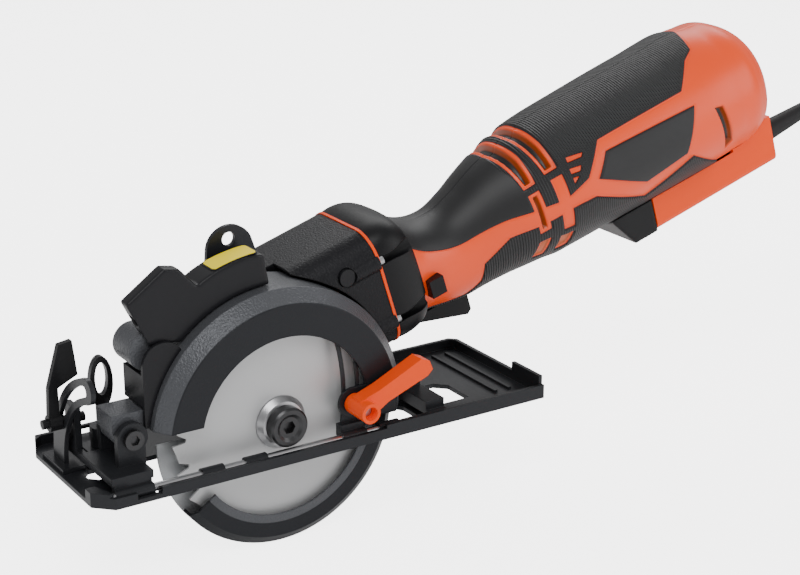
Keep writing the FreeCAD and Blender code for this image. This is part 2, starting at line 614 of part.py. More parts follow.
CASE_SCREWS = ((-28.2, 20.5), (-28.2, -14.5), (28.2, 20.5), (28.2, -14.5))
LOCK_S, LOCK_UP = 62.0, 22.0


def gear_housing():
    """Cast case from the collar down to the arbor nose; hollow for the gears."""
    case = Part.makeBox(61.8, 62, 67, Vector(20, -31, -31))
    case = case.makeFillet(15, [e for e in case.Edges if abs(e.tangentAt(0).x) > 0.9])
    item = solid("GearCase", case)
    item.Placement = MOTOR
    head = rod_at("GearHead", "31", "34", idler_place(31.4))
    bosses = [rod("ScrewBoss%d" % k, "5", "20", ("61.8", str(across), str(over)), TO_X, MOTOR)
              for k, (across, over) in enumerate(CASE_SCREWS)]
    noses = [cone("BossNose%d" % k, "2", "5", "6", ("55.8", str(across), str(over)), TO_X, MOTOR)
             for k, (across, over) in enumerate(CASE_SCREWS)]
    clear_guard = rod("GearClear", "guard_outer + 1.5", "60", ("0", at_blade(-28.7), "arbor_z"), TO_Y)
    clear_tab = rod("GearClearTab", "100", "38", ("0", at_blade(-6.7), "arbor_z"), TO_Y)
    tab_side = box("GearTabSide", ("-120", "16"), (at_blade(-10), at_blade(31.3)), ("0", "140"))
    under = box("GearUnder", ("-60", "120"), (at_blade(31.6), "80"), ("-60", "9.6"))
    outside = cut("GearOutside", fuse("GearMass", item, head, *bosses, *noses), clear_guard,
                  common("GearTabRoom", clear_tab, tab_side), under)
    nose = turned("ArborNose", [("0", "nose_face"), ("nose_radius", "nose_face"), ("nose_radius", "8.9"),
                                ("29.4", "8.9"), ("29.4", "13"), ("24.2", "13"), ("24.2", "22.6"),
                                ("12.4", "22.6"), ("12.4", "33"), ("0", "33")])
    bump = rod_at("NoseBump", "12", "19.6", idler_place(12.7))
    pad_disc = rod("PadDisc", "34", "7.7", ("0", at_blade("guard_far"), "arbor_z"), TO_Y)
    pad_trim = box("PadTrim", ("-50", "50"), (at_blade(20), at_blade(40)), ("-40", "5.6"))
    arbor_nose = [nose, bump, cut("MountPad", pad_disc, pad_trim)]
    whole = fuse("GearWhole", outside, *arbor_nose)
    rooms = [
        rod("RoomSpur", "22.6", "8.4", ("0", at_blade(13.3), "arbor_z"), TO_Y),
        rod("RoomSpindle", "6.4", "40", ("0", at_blade(3), "arbor_z"), TO_Y),
        rod("SeatSpindleFront", "9.5", "5.4", ("0", at_blade(8), "arbor_z"), TO_Y),
        rod("SeatSpindleRear", "9.5", "9", ("0", at_blade(23.5), "arbor_z"), TO_Y),
        rod("RoomMotor", "11.2", "70", ("18", "0", "0"), TO_X, MOTOR),
        rod_at("RoomPinion", "10.2", "8.4", idler_place(13.3)),
        rod_at("RoomIdler", "4.4", "46", idler_place(12.8)),
        rod_at("RoomCrown", "19", "9", idler_place(41.6)),
        rod_at("SeatIdlerFront", "7", "4.6", idler_place(22.6)),
        rod_at("SeatIdlerRear", "7", "4.6", idler_place(50.4)),
        rod_at("LockWell", "4.9", "16", Placement(on_barrel(LOCK_S, -36, LOCK_UP), TO_Y)),
        rod("SeatMotorFront", "11", "9", ("74", "0", "0"), TO_X, MOTOR),
    ]
    for k in range(3):
        rooms.append(rod_at("RetainerHole%d" % k, "1.5", "4.2", retainer_spot(k)))
    for k, (across, over) in enumerate(CASE_SCREWS):
        rooms.append(rod("CaseHole%d" % k, "2", "30", ("66", str(across), str(over)), TO_X, MOTOR))
    node(cut("GearHousing", whole, *rooms), "gear_housing")
    screws = []
    for k, (across, over) in enumerate(CASE_SCREWS):
        screws.append(rod("CaseShank%d" % k, "2", "15", ("67", str(across), str(over)), TO_X, MOTOR))
        screws.append(rod("CaseHead%d" % k, "3.3", "3", ("81.9", str(across), str(over)), TO_X, MOTOR))
    node(fuse("GearCaseScrews", *screws), "gear_case_screws")


def bearings():
    def ring(name, outer, inner, width, place):
        whole = rod_at(name + "Outer", str(outer), str(width), place)
        hole = rod_at(name + "Inner", str(inner), str(width + 2), place * Placement(Vector(0, 0, -1), NO_TURN))
        return cut(name, whole, hole)

    def pair(name, label, spots, sizes):
        rings = [ring(name + str(k), size[0], size[1], size[2], spot)
                 for k, (spot, size) in enumerate(zip(spots, sizes))]
        node(fuse(name + "Pair", *rings), label)
    arbor = [Placement(Vector(0, BLADE_Y + low, ARBOR.z), TO_Y) for low in (8.2, 24)]
    pair("SpindleBearing", "spindle_bearings", arbor, ((9.5, 6.05, 5), (9.5, 6.05, 5)))
    pair("IdlerBearing", "idler_bearings", [idler_place(22.7), idler_place(50.5)], ((7, 4.05, 4.4), (7, 4.05, 4.4)))
    motor = [MOTOR * Placement(Vector(s, 0, 0), TO_X) for s in (74.6, 300)]
    pair("MotorBearing", "motor_bearings", motor, ((11, 4.05, 7), (9.5, 3.65, 7)))


def motor_fixed_parts():
    stack = rod("StatorStack", "30", "46", ("213", "0", "0"), TO_X, MOTOR)
    hole = rod("StatorHole", "20.8", "80", ("190", "0", "0"), TO_X, MOTOR)
    coils = rod("StatorCoils", "27", "66", ("203", "0", "0"), TO_X, MOTOR)
    node(cut("FieldStator", fuse("StatorMass", stack, coils), hole), "field_stator")
    tubes, carbons = [], []
    for side, turn in (("Up", 0), ("Down", 180)):
        spin = MOTOR * Placement(Vector(287.5, 0, 0), Rotation(Vector(1, 0, 0), turn + 90))
        tube = box("BrushTube" + side, ("-5", "5"), ("-4", "4"), ("14", "31"), spin)
        room = box("BrushRoom" + side, ("-3.2", "3.2"), ("-2.2", "2.2"), ("10", "29.5"), spin)
        tubes.append(cut("BrushHolder" + side, tube, room))
        carbons.append(box("Carbon" + side, ("-3.1", "3.1"), ("-2.1", "2.1"), ("11.3", "25"), spin))
    node(fuse("BrushHolders", *tubes), "brush_holders")
    node(fuse("CarbonBrushes", *carbons), "carbon_brushes")
    switch = box("SwitchCase", ("122", "152"), ("-8", "8"), ("-24", "-8.5"), MOTOR)
    node(switch, "switch_body")
    clamp = box("ClampBar", ("336", "343"), ("-13", "9"), ("-52.6", "-41"), MOTOR)
    clamp_room = rod("ClampRoom", "3.7", "20", ("330", "-2", "-46.5"), TO_X, MOTOR)
    node(cut("CordClamp", clamp, clamp_room), "cord_clamp")


def controls():
    """Trigger, lock-off button and spindle lock."""
    wide = 18.0
    side = -wide / 2
    blade = Part.makePolygon([Vector(106, side, -33), Vector(106, side, -37), Vector(135.5, side, -47.6),
                              Vector(138.2, side, -45.5), Vector(138.2, side, -33), Vector(106, side, -33)])
    trigger = Part.Face(blade).extrude(Vector(0, wide, 0))
    item = solid("Trigger", trigger)
    item.Placement = MOTOR
    node(item, "trigger")
    button = Part.makeBox(9, 58, 10, Vector(107.5, -29, -16))
    item = solid("LockOff", button)
    item.Placement = MOTOR
    node(item, "lock_off_button")
    pin = rod_at("LockPin", "4.6", "7.4", Placement(on_barrel(LOCK_S, -32, LOCK_UP), TO_Y))
    node(pin, "spindle_lock_button")


# ---------------------------------------------------------------- base, brackets and levers
def base_plate():
    """Pressed tray: floor, upturned rim, blade slot, rear window and front hole."""
    body = new("PartDesign::Body", "BasePlate")
    tray = sketch_on(body, "TrayOutline", "XY_Plane")
    outline(tray, [("sole_front", "sole_near + 9"), ("sole_front + 9", "sole_near"), ("sole_rear", "sole_near"),
                   ("sole_rear", "sole_far - 4"), ("sole_rear - 4", "sole_far"), ("sole_front + 4", "sole_far"),
                   ("sole_front", "sole_far - 10")])
    pad(body, tray, "TrayPad", "sole_rim")
    doc.recompute()
    room = sketch_on(body, "TrayRoom", "XY_Plane")
    room.AttachmentOffset = Placement(Vector(0, 0, val("sole_floor")), NO_TURN)
    outline(room, [("sole_front - 5", "sole_near + 15"), ("sole_front + 5", "sole_near + 15"),
                   ("sole_front + 9", "sole_near + rim_wall"), ("sole_rear - rim_wall", "sole_near + rim_wall"),
                   ("sole_rear - rim_wall", "sole_far - 5"), ("sole_rear - 5", "sole_far - rim_wall"),
                   ("sole_front + 6", "sole_far - rim_wall"), ("sole_front - 5", "sole_far - 12")])
    full = body.Tip.Shape.Volume
    hollow = body.newObject("PartDesign::Pocket", "TrayPocket")
    hollow.Profile = room
    hollow.Reversed = True
    hollow.Type = "ThroughAll"
    slots = sketch_on(body, "SlotOutlines", "XY_Plane")
    outline(slots, [("slot_front", "slot_near"), ("slot_rear", "slot_near"), ("slot_rear", "slot_near + 22"),
                    ("slot_rear - 10", "slot_far"), ("slot_front + 8", "slot_far"), ("slot_front", "slot_far - 8")])
    outline(slots, [("window_front + window_corner", "window_near"), ("window_rear", "window_near"),
                    ("window_rear", "window_far - window_corner"), ("window_rear - window_corner", "window_far"),
                    ("window_front + 3", "window_far"), ("window_front", "window_far - 3"),
                    ("window_front", "window_near + window_corner")])
    outline(slots, [("grip_hole_front + 4", "grip_hole_near"), ("grip_hole_rear - 4", "grip_hole_near"),
                    ("grip_hole_rear", "grip_hole_near + 4"), ("grip_hole_rear", "grip_hole_far - 4"),
                    ("grip_hole_rear - 4", "grip_hole_far"), ("grip_hole_front + 4", "grip_hole_far"),
                    ("grip_hole_front", "grip_hole_far - 4"), ("grip_hole_front", "grip_hole_near + 4")])
    through(body, slots, "SlotPocket")
    doc.recompute()
    if body.Tip.Shape.Volume > 0.6 * full:
        raise RuntimeError("the tray's pockets cut too little")
    guide = box("GuideSlot", ("guide_front", "guide_rear"), ("sole_near - 2", "sole_far + 2"),
                ("sole_floor", "sole_floor + 3.4"))
    ribs = [box("Rib%d" % k, (str(x), str(x + 2)), ("-38", "24"), ("sole_floor - 0.5", "sole_floor + 1.4"))
            for k, x in enumerate((133, 142))]
    lip = box("RearLip", ("sole_rear - rim_wall", "sole_rear"), ("sole_near + 2", "sole_near + 27"), ("4", "12.6"))
    spots = (-50, -26, 52)
    knuckles = [rod("Knuckle%d" % k, "knuckle_radius", "12", (str(x), "rod_y", "rod_z"), TO_X)
                for k, x in enumerate(spots)]
    arms = [box("KnuckleArm%d" % k, (str(x), str(x + 12)), ("sole_near + 1", "rod_y"), ("1.4", "4.6"))
            for k, x in enumerate(spots)]
    rooms = [rod("BracketRoom%d" % k, "knuckle_radius + 0.35", str(long), (str(x), "rod_y", "rod_z"), TO_X)
             for k, (x, long) in enumerate(((-98, 24), (28.6, 16.8), (80.5, 14.5)))]
    boss = rod("GuideBoss", "6.5", "14", ("-80", "guide_y", "sole_floor + 4"))
    boss_leg = box("GuideBridge", ("-90", "-70"), ("-9.5", "8"), ("sole_floor + 4.2", "sole_floor + 7"))
    legs = [box("GuideLeg%d" % k, (str(x), str(x + 2.6)), ("-9.5", "8"), ("1", "sole_floor + 7"))
            for k, x in enumerate((-90, -72.6))]
    screw_hole = rod("GuideThread", "3.1", "30", ("-80", "guide_y", "sole_floor"))
    rod_hole = rod("RodHole", "rod_radius + 0.06", "230", ("-99", "rod_y", "rod_z"), TO_X)
    body_cut = cut("TrayGuideCut", body, guide)
    mass = fuse("BaseMass", body_cut, *ribs, lip, *knuckles, *arms, boss, boss_leg, *legs)
    low_rail = box("LowRail", ("sole_front - 1", "54"), ("sole_near - 1", "sole_near + rim_wall + 0.01"),
                   ("5.8", "sole_rim + 1"))
    node(cut("BasePlateDone", mass, rod_hole, screw_hole, low_rail, *rooms), "base_plate")


def arc_band(cx, cy, inner, outer, first, last, ends=True):
    """A flat arc band in the XY plane about (cx, cy)."""
    def at(radius, degrees):
        angle = math.radians(degrees)
        return Vector(cx + radius * math.cos(angle), cy + radius * math.sin(angle), 0)
    mid = (first + last) / 2.0
    edges = [Part.Arc(at(outer, first), at(outer, mid), at(outer, last)).toShape(),
             Part.Arc(at(inner, first), at(inner, mid), at(inner, last)).toShape()]
    if ends:
        half = (inner + outer) / 2.0
        swell = math.degrees((outer - inner) / 2.0 / half)
        edges.append(Part.Arc(at(outer, last), at(half, last + swell), at(inner, last)).toShape())
        edges.append(Part.Arc(at(outer, first), at(half, first - swell), at(inner, first)).toShape())
    else:
        edges.append(Part.makeLine(at(outer, last), at(inner, last)))
        edges.append(Part.makeLine(at(outer, first), at(inner, first)))
    return Part.Face(Part.Wire(Part.__sortEdges__(edges)))


def depth_frame():
    """The body between saw and sole: front bracket, bevel rod, depth quadrant and rear bracket."""
    # front bracket: two ears, the strap between them and the sleeve on the rod
    near_ear = rod("NearEar", "8", "4", ("pivot_x", at_blade(0), "pivot_z"), TO_Y)
    near_leg = box("NearLeg", ("pivot_x - 8", "pivot_x + 6.5"), (at_blade(0), at_blade(4)), ("9", "pivot_z"))
    far_ear = rod("FarEar", "7", "3", ("pivot_x", at_blade(23), "pivot_z"), TO_Y)
    far_leg = box("FarLeg", ("pivot_x - 7", "pivot_x + 5"), (at_blade(23), at_blade(26)), ("9", "pivot_z"))
    strap = box("Strap", ("-97", "-75"), ("rod_y + 0.6", at_blade(26)), ("9", "13"))
    sleeve_front = rod("StrapSleeve", "knuckle_radius", "20", ("-96", "rod_y", "rod_z"), TO_X)
    hook = box("StrapHook", ("-96", "-76"), ("rod_y + 0.6", "rod_y + 3.2"), ("rod_z", "9.5"))
    lock_plate = box("LockPlate", ("-97", "-93.5"), (at_blade(31.4), "lock_y + 7"), ("9", "lock_z + 7"))
    lock_strip = box("LockStrip", ("-97", "-93.5"), (at_blade(15), "lock_y"), ("9", "12.6"))
    lock_nut = rod("LockThread", "2.55", "20", ("-104", "lock_y", "lock_z"), TO_X)
    pin_hole = rod("EarHole", "pivot_pin + 0.05", "40", ("pivot_x", at_blade(-5), "pivot_z"), TO_Y)
    rod_hole = rod("HookHole", "rod_radius", "60", ("-110", "rod_y", "rod_z"), TO_X)
    mass = fuse("FrontMass", near_ear, near_leg, far_ear, far_leg, strap, sleeve_front, hook, lock_plate, lock_strip)
    node(cut("FrontBracket", mass, pin_hole, rod_hole, lock_nut), "front_bracket")
    pin = rod("PivotShaft", "pivot_pin", "26.9", ("pivot_x", at_blade(-0.6), "pivot_z"), TO_Y)
    head = rod("PivotHead", "5", "2.6", ("pivot_x", at_blade(-2.8), "pivot_z"), TO_Y)
    hexagon = new("Part::Prism", "PivotSocket")
    hexagon.Polygon = 6
    hexagon.Circumradius = 2.6
    hexagon.Height = 2.2
    hexagon.Placement = Placement(Vector(val("pivot_x"), BLADE_Y - 3.4, val("pivot_z")), TO_Y)
    node(cut("PivotBolt", fuse("PivotMass", pin, head), hexagon), "pivot_bolt")
    node(rod("BevelRod", "rod_radius", "188", ("-98", "rod_y", "rod_z"), TO_X), "bevel_rod")
    # depth quadrant: an arc plate about the depth pivot, standing on a saddle on the rod
    thick = 1.2
    low = BLADE_Y - 6.9
    band = arc_band(val("pivot_x"), val("pivot_z"), val("quadrant_inner"), val("quadrant_outer"), -9, 20.5)
    slot_mid = math.hypot(val("clamp_x") - val("pivot_x"), val("clamp_z") - val("pivot_z"))
    half = val("quadrant_slot")
    start = math.degrees(math.atan2(val("clamp_z") - val("pivot_z"), val("clamp_x") - val("pivot_x")))
    slot = arc_band(val("pivot_x"), val("pivot_z"), slot_mid - half, slot_mid + half, start, start + 21.5)
    plate = band.extrude(Vector(0, 0, thick)).cut(slot.extrude(Vector(0, 0, thick)))
    plate.rotate(Vector(), Vector(1, 0, 0), 90)
    plate.translate(Vector(0, low + thick, 0))
    along = Vector(1, 0, 0)
    saddle = Part.makeCylinder(val("knuckle_radius"), 14, Vector(30, val("rod_y"), val("rod_z")), along)
    keep = Part.makeBox(14, 3.9 + 1.0, 6.5, Vector(30, val("rod_y") + 0.6, val("rod_z")))
    saddle = saddle.fuse(keep)
    hole = Part.makeCylinder(val("rod_radius"), 60, Vector(0, val("rod_y"), val("rod_z")), Vector(1, 0, 0))
    floor = Part.makeBox(80, 40, 40, Vector(0, low - 20, val("rod_z") + 1 - 40))
    quadrant = plate.cut(floor).fuse(saddle).cut(hole).removeSplitter()
    node(solid("DepthQuadrant", quadrant), "depth_quadrant")
    block = box("RearBlock", ("82", "93.5"), ("rod_y + 0.6", "rod_y + 34"), ("5", "12"))
    wrap = rod("RearSleeve", "knuckle_radius", "11.5", ("82", "rod_y", "rod_z"), TO_X)
    post = box("RearPost", ("82", "93.5"), (at_blade(13), at_blade(23)), ("4", "21"))
    hole = rod("RearHole", "rod_radius", "40", ("70", "rod_y", "rod_z"), TO_X)
    node(cut("RearBracket", fuse("RearMass", block, post, wrap), hole), "rear_bracket")


def bevel_quadrant():
    """Upright arc plate on the sole's front edge that the bevel lock runs in."""
    reach = math.hypot(val("lock_y") - val("rod_y"), val("lock_z") - val("rod_z"))
    rest = math.degrees(math.atan2(val("lock_z") - val("rod_z"), val("lock_y") - val("rod_y")))
    thick = 2.4
    band = arc_band(val("rod_y"), val("rod_z"), reach - 6.5, reach + 6.5, 0, rest + 48)
    slot = arc_band(val("rod_y"), val("rod_z"), reach - 2.9, reach + 2.9, rest, rest + 45)
    plate = band.extrude(Vector(0, 0, thick)).cut(slot.extrude(Vector(0, 0, thick)))
    # local x, y, z become row y, z, x
    plate.transformShape(FreeCAD.Matrix(0, 0, 1, 0, 1, 0, 0, 0, 0, 1, 0, 0, 0, 0, 0, 1))
    plate.translate(Vector(-102, 0, 0))
    floor = Part.makeBox(40, 200, 60, Vector(-120, -100, val("sole_floor") + 0.02 - 60))
    foot = Part.makeBox(12, 26, 2.4, Vector(-105.5, val("rod_y") + reach - 13, val("sole_floor") + 0.02))
    shape = plate.cut(floor).fuse(foot).removeSplitter()
    node(solid("BevelQuadrant", shape), "bevel_quadrant")


def levers():
    # depth lever: hub on the clamp bolt, arm rising to the rear
    hub = Part.makeCylinder(5.4, 17.4, Vector(0, -27, 0), Vector(0, 1, 0))
    arm_line = Part.makePolygon([Vector(-2, 0, -4.5), Vector(4, 0, -5), Vector(14, 0, 1.5), Vector(38, 0, 10.5),
                                 Vector(41, 0, 13.5), Vector(39, 0, 18.5), Vector(34, 0, 20.5), Vector(10, 0, 9.5),
                                 Vector(-3, 0, 5), Vector(-2, 0, -4.5)])
    arm = Part.Face(arm_line).extrude(Vector(0, 9, 0))
    arm.translate(Vector(0, -21, 0))
    lever = hub.fuse(arm).removeSplitter()
    lever = lever.cut(Part.makeCylinder(2.65, 30, Vector(0, -23, 0), Vector(0, 1, 0)))
    lever = lever.cut(Part.makeCylinder(3.6, 5, Vector(0, -28, 0), Vector(0, 1, 0)))
    item = solid("DepthLever", lever)
    item.Placement = Placement(Vector(val("clamp_x"), BLADE_Y, val("clamp_z")), NO_TURN)
    node(item, "depth_lever")
    bolt = rod("ClampBolt", "2.55", "17.6", ("clamp_x", at_blade(-22.6), "clamp_z"), TO_Y)
    head = rod("ClampHead", "4.4", "1.3", ("clamp_x", at_blade(-5.5), "clamp_z"), TO_Y)
    node(fuse("ClampBoltPair", bolt, head), "depth_clamp_bolt")
    # bevel lever: screw and hub along X, stem up to the flat finger paddle
    screw = rod("BevelScrew", "2.45", "22", ("-112", "lock_y", "lock_z"), TO_X)
    hub = rod("BevelHub", "4.2", "6.5", ("-108.8", "lock_y", "lock_z"), TO_X)
    stem = Part.makePolygon([Vector(-109, 0, 26), Vector(-103.2, 0, 26), Vector(-103.2, 0, 46),
                             Vector(-92.5, 0, 51), Vector(-94.5, 0, 69), Vector(-101.5, 0, 68),
                             Vector(-108, 0, 46.5), Vector(-109, 0, 26)])
    paddle = Part.Face(stem).extrude(Vector(0, 3.6, 0))
    paddle.translate(Vector(0, val("lock_y") - 1.8, 0))
    node(fuse("BevelLever", screw, hub, solid("BevelPaddle", paddle)), "bevel_lever")
    # guide clamp screw: flat ring-shaped head on a short screw
    stem = rod("GuideScrewStem", "3.02", "28", ("-80", "guide_y", "sole_floor + 0.6"))
    ring = Part.Ellipse(Vector(), 13.8, 6.1).toShape()
    hole = Part.Ellipse(Vector(2, 0, 0), 8.6, 3.4).toShape()
    upright = Placement(Vector(-80, val("guide_y") - 1.8, 43.6),
                        Rotation(Vector(0, 0, 1), Vector(1, 0, 0), Vector(0, 1, 0), "XYZ"))
    blank = Part.Face(Part.Wire(ring)).extrude(Vector(0, 0, 3.6)).cut(
        Part.Face(Part.Wire(hole)).extrude(Vector(0, 0, 3.6)))
    head = solid("GuideHead", blank)
    head.Placement = upright
    node(fuse("GuideScrew", stem, head), "guide_screw")


# ---------------------------------------------------------------- cord
def cord_path(points):
    """Straight runs joined by tangent arcs; each arc uses 0.45 of its shorter run."""
    edges, radii = [], []
    start = points[0]
    for before, here, after in zip(points, points[1:], points[2:]):
        back, ahead = before - here, after - here
        run = min(back.Length, ahead.Length)
        back.normalize()
        ahead.normalize()
        turn = math.pi - back.getAngle(ahead)
        reach = 0.45 * run
        radius = reach / math.tan(turn / 2)
        radii.append(round(radius, 1))
        first, last = here + back * reach, here + ahead * reach
        bow = back + ahead
        bow.normalize()
        middle = here + bow * (radius / math.cos(turn / 2) - radius)
        edges.append(Part.LineSegment(start, first).toShape())
        edges.append(Part.Arc(first, middle, last).toShape())
        start = last
    edges.append(Part.LineSegment(start, points[-1]).toShape())
    return Part.Wire(edges), radii


CORD_ROUTE = (
    (389.4, -2, 118.6), (418, -2, 127.6), (449, -2.5, 126), (474, -3.5, 108), (487, -5, 78), (491, -6.5, 46),
    (488, -7, 18), (491, -7, -10), (505, -6.7, -34), (530, -6.3, -44.8), (558, -6, -45),
)


def cord():
    relief_base = on_barrel(357.3, -2, -46.5)
    sleeve_shape = Part.makeCone(6.9, 4.6, 44.0, relief_base, AXIS)
    plug_in = Part.makeCylinder(6.4, 10, relief_base - AXIS * 9.8, AXIS)
    bore = Part.makeCylinder(val("cord_radius") + 0.05, 60, relief_base - AXIS * 12, AXIS)
    node(solid("StrainRelief", sleeve_shape.fuse(plug_in).cut(bore).removeSplitter()), "strain_relief")
    points = [Vector(*p) for p in CORD_ROUTE]
    points[0] = relief_base + AXIS * 44.1
    wire, radii = cord_path(points)
    print("cord arc radii", radii, "free length", round(wire.Length, 1))
    start = wire.Edges[0].valueAt(wire.Edges[0].FirstParameter)
    heading = (points[1] - points[0]).normalize()
    profile = Part.Wire(Part.makeCircle(val("cord_radius"), start, heading))
    tube = wire.makePipeShell([profile], True, False)
    expected = math.pi * val("cord_radius") ** 2 * wire.Length
    print("cord volume ratio", round(tube.Volume / expected, 4))
    node(solid("PowerCord", tube), "power_cord")
    outer = rod("CoilOuter", "coil_mean + coil_width / 2", "coil_height", ("coil_x", "coil_y", "floor_z"))
    inner = rod("CoilInner", "coil_mean - coil_width / 2", "coil_height + 4", ("coil_x", "coil_y", "floor_z - 2"))
    node(cut("CordCoil", outer, inner), "cord_coil")
    top = val("floor_z + coil_height")
    x, y = val("coil_x"), val("coil_y + coil_mean")
    body = Part.makeBox(38, 24, 17, Vector(x - 19, y - 12, top + 0.1))
    body = body.makeFillet(4.5, [e for e in body.Edges if abs(e.tangentAt(0).x) > 0.9])
    node(solid("PlugBody", body), "plug_body")
    pins = [Part.makeBox(18, 1.5, 6.3, Vector(x - 37.02, y + side - 0.75, top + 5.5)) for side in (-6.35, 6.35)]
    node(solid("PlugPins", pins[0].fuse(pins[1])), "plug_pins")


# ---------------------------------------------------------------- assemble, check and write
def build():
    saw_blade()
    spindle_parts()
    gear_train()
    rotor_parts()
    upper_guard()
    dust_chute()
    lower_guard()
    lift_lever()
    guard_return()
    laser()
    housings()
    gear_housing()
    bearings()
    motor_fixed_parts()
    controls()
    base_plate()
    depth_frame()
    bevel_quadrant()
    levers()
    cord()


def check_and_write():
    doc.recompute()
    for item in doc.Objects:
        if "Invalid" in item.State or "Error" in item.State:
            raise RuntimeError("%s failed: %s" % (item.Label, item.State))
    os.makedirs("parts", exist_ok=True)
    for item in NODES:
        shape = item.Shape
        if shape.isNull() or not shape.isValid() or not shape.Solids:
            raise RuntimeError("%s has no valid solid" % item.Label)
        print("%-22s solids %d volume %9.1f" % (item.Label, len(shape.Solids), shape.Volume))
        shape.exportStep("parts/%s.step" % item.Label)
    print(len(NODES), "nodes")


build()
check_and_write()
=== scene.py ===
import bpy
import math
import numpy as np
from mathutils import Matrix, Vector


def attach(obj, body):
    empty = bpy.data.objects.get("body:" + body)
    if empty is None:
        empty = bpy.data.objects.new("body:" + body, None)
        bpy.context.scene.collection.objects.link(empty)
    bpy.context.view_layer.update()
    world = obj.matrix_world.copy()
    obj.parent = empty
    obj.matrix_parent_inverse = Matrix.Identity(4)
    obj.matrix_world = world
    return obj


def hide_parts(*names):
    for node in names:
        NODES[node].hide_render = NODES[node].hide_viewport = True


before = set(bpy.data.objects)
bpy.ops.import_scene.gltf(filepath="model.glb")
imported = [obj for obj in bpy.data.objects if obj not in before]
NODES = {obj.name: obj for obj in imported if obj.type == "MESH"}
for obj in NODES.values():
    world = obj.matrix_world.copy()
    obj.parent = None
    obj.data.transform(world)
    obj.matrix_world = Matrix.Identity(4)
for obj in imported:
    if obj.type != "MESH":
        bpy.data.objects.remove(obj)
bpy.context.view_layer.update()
MM = 0.001

# ------------------------------------------------------------------ camera
CAMERA_PLACE = Vector((-0.4101, -0.7834, 0.3868))
CAMERA_LENS = 82.4
azimuth, elevation = math.radians(-32.88), math.radians(19.36)
back = Vector((math.sin(azimuth) * math.cos(elevation), -math.cos(azimuth) * math.cos(elevation),
               math.sin(elevation)))
right = Vector((math.cos(azimuth), math.sin(azimuth), 0))
upward = back.cross(right)
lens = bpy.data.cameras.new("view_lens")
lens.sensor_width = 36.0
lens.lens = CAMERA_LENS
lens.clip_start = 0.02
camera = bpy.data.objects.new("view_camera", lens)
turn = Matrix((right, upward, back)).transposed().to_4x4()
camera.matrix_world = Matrix.Translation(CAMERA_PLACE) @ turn
bpy.context.scene.collection.objects.link(camera)
bpy.context.scene.camera = camera

# ------------------------------------------------------------------ driving sizes of the saw, in mm
TILT = math.radians(17.4)
AXIS = Vector((math.cos(TILT), 0, math.sin(TILT)))
RISE = Vector((-math.sin(TILT), 0, math.cos(TILT)))
ARBOR = Vector((0, -37, 17))
MOTOR_RISE = 28
MOTOR_BASE = Vector((0, 0, ARBOR.z)) + RISE * MOTOR_RISE
FLOOR_Z = -48.5
CORD_RADIUS = 3.5
RELIEF_START, RELIEF_LENGTH = 357.3, 44.1
CORD_EXIT_Y, CORD_EXIT_UP = -2, -46.5


def on_barrel(s, y, up):
    """Row-frame point, in mm, from a place along, across and over the motor axis."""
    return MOTOR_BASE + AXIS * s + Vector((0, y, 0)) + RISE * up


# ------------------------------------------------------------------ cord
relief_end = on_barrel(RELIEF_START + RELIEF_LENGTH, CORD_EXIT_Y, CORD_EXIT_UP)
cord_route = [tuple(relief_end), (418, -2, 127.6), (449, -2.5, 126), (474, -3.5, 108), (487, -5, 78),
              (491, -6.5, 46), (488, -7, 18), (491, -7, -10), (505, -6.7, -34), (530, -6.3, -44.8),
              (552, -6, -45)]
COIL_X, COIL_Y, COIL_MEAN = 558, 41, 40
PITCH = 7.05
ROUND_SHARE = 15


def coil_points():
    """Nine turns, three across and three high, each layer wound the way back."""
    made = []
    for layer in range(3):
        for lap in range(3):
            ring = 2 - lap if layer % 2 == 0 else lap
            for k in range(0, 360, ROUND_SHARE):
                share = k / 360.0
                after = ring + (-1 if layer % 2 == 0 else 1) * (share if lap < 2 else 0)
                climb = share if lap == 2 and layer < 2 else 0
                radius = COIL_MEAN - PITCH + after * PITCH
                angle = math.radians(-90 + k)
                height = FLOOR_Z + CORD_RADIUS + (layer + climb) * PITCH
                made.append((COIL_X + radius * math.cos(angle), COIL_Y + radius * math.sin(angle), height))
    return made


cord_points = cord_route[:-1] + coil_points()
cord_data = bpy.data.curves.new("cord_line", "CURVE")
cord_data.dimensions = "3D"
spline = cord_data.splines.new("NURBS")
spline.points.add(len(cord_points) - 1)
for point, place in zip(spline.points, cord_points):
    point.co = (place[0] * MM, place[1] * MM, place[2] * MM, 1)
    # the tube's radius is held here, so that the curve's own bounds stay close to the tube
    point.radius = CORD_RADIUS * MM
spline.order_u = 3
spline.use_endpoint_u = True
spline.resolution_u = 4
cord_data.bevel_depth = 1.0
cord_data.bevel_resolution = 6
cord_data.use_fill_caps = True
cord = bpy.data.objects.new("mains_cord", cord_data)
bpy.context.scene.collection.objects.link(cord)
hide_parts("power_cord", "cord_coil")
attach(cord, "saw_body")


# ------------------------------------------------------------------ materials
SPECULAR = 0.22
TONE_SCALE = 28.0


def link(tree, a, out, b, into):
    tree.links.new(a.outputs[out], b.inputs[into])


def math_node(tree, operation, first, second=None):
    """A maths node; each input is a number or an output socket."""
    item = tree.nodes.new("ShaderNodeMath")
    item.operation = operation
    for slot, value in enumerate((first, second)):
        if isinstance(value, (int, float)):
            item.inputs[slot].default_value = value
        elif value is not None:
            tree.links.new(value, item.inputs[slot])
    return item.outputs["Value"]


def bump_node(tree, height, distance, normal=None):
    """A bump of so many mm, over another normal if one is given."""
    item = tree.nodes.new("ShaderNodeBump")
    item.inputs["Distance"].default_value = distance * MM
    tree.links.new(height, item.inputs["Height"])
    if normal is not None:
        tree.links.new(normal, item.inputs["Normal"])
    return item


